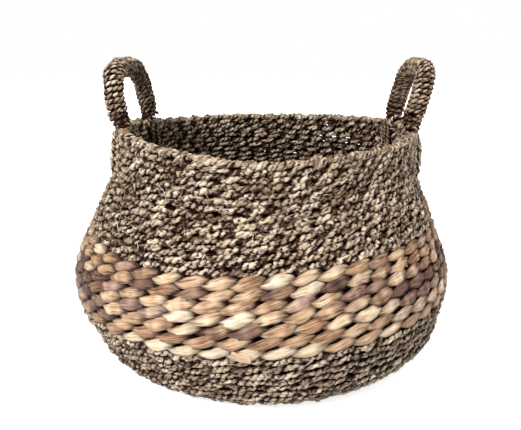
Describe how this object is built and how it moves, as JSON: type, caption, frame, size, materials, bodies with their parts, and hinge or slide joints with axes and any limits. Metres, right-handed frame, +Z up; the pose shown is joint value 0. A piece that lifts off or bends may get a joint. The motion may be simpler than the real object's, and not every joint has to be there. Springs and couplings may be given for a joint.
{
  "type": "water hyacinth basket",
  "caption": "Round belly basket twined from seagrass with a wide water hyacinth band and two upright rope handles.",
  "frame": {"origin": "centre of the flat underside, on the floor", "axes": "+Z up, +X towards the right handle, the front of the basket faces -Y"},
  "size_m": [0.3302, 0.3302, 0.2405],
  "materials": {
    "seagrass": "matt twisted grass cord, grey brown with pale olive strands",
    "hyacinth": "satin dried stalk, golden tan with brown and mauve patches",
    "stake": "matt twisted grass cord, hidden in the weave",
    "handle_rope": "matt grass cord wound over a rope core"
  },
  "bodies": {
    "root": {"base_under_weft": "seagrass", "base_inner_weft": "seagrass", "stake_01": "stake", "stake_02": "stake", "stake_03": "stake", "stake_04": "stake", "stake_05": "stake", "stake_06": "stake", "stake_07": "stake", "stake_08": "stake", "stake_09": "stake", "stake_10": "stake", "stake_11": "stake", "stake_12": "stake", "stake_13": "stake", "stake_14": "stake", "stake_15": "stake", "stake_16": "stake", "stake_17": "stake", "stake_18": "stake", "stake_19": "stake", "stake_20": "stake", "stake_21": "stake", "stake_22": "stake", "stake_23": "stake", "stake_24": "stake", "lower_weft_outer": "seagrass", "lower_weft_inner": "seagrass", "hyacinth_weft_outer": "hyacinth", "hyacinth_weft_inner": "hyacinth", "upper_weft_outer": "seagrass", "upper_weft_inner": "seagrass", "rim_border": "seagrass", "left_front_lashing": "handle_rope", "left_rear_lashing": "handle_rope", "right_front_lashing": "handle_rope", "right_rear_lashing": "handle_rope"},
    "left_handle": {"left_handle_core": "handle_rope", "left_handle_wrap": "handle_rope"},
    "right_handle": {"right_handle_core": "handle_rope", "right_handle_wrap": "handle_rope"}
  },
  "joints": [
    {"name": "left_handle_bend", "type": "hinge", "parent": "root", "child": "left_handle", "pos_m": [-0.11086, 0.00748, 0.1922], "axis": [-0.0654, -0.9979, 0], "range_deg": [-40, 25], "stiffness_Nm_per_rad": 0.3},
    {"name": "right_handle_bend", "type": "hinge", "parent": "root", "child": "right_handle", "pos_m": [0.11987, 0, 0.1922], "axis": [0, 1, 0], "range_deg": [-40, 25], "stiffness_Nm_per_rad": 0.3}
  ]
}
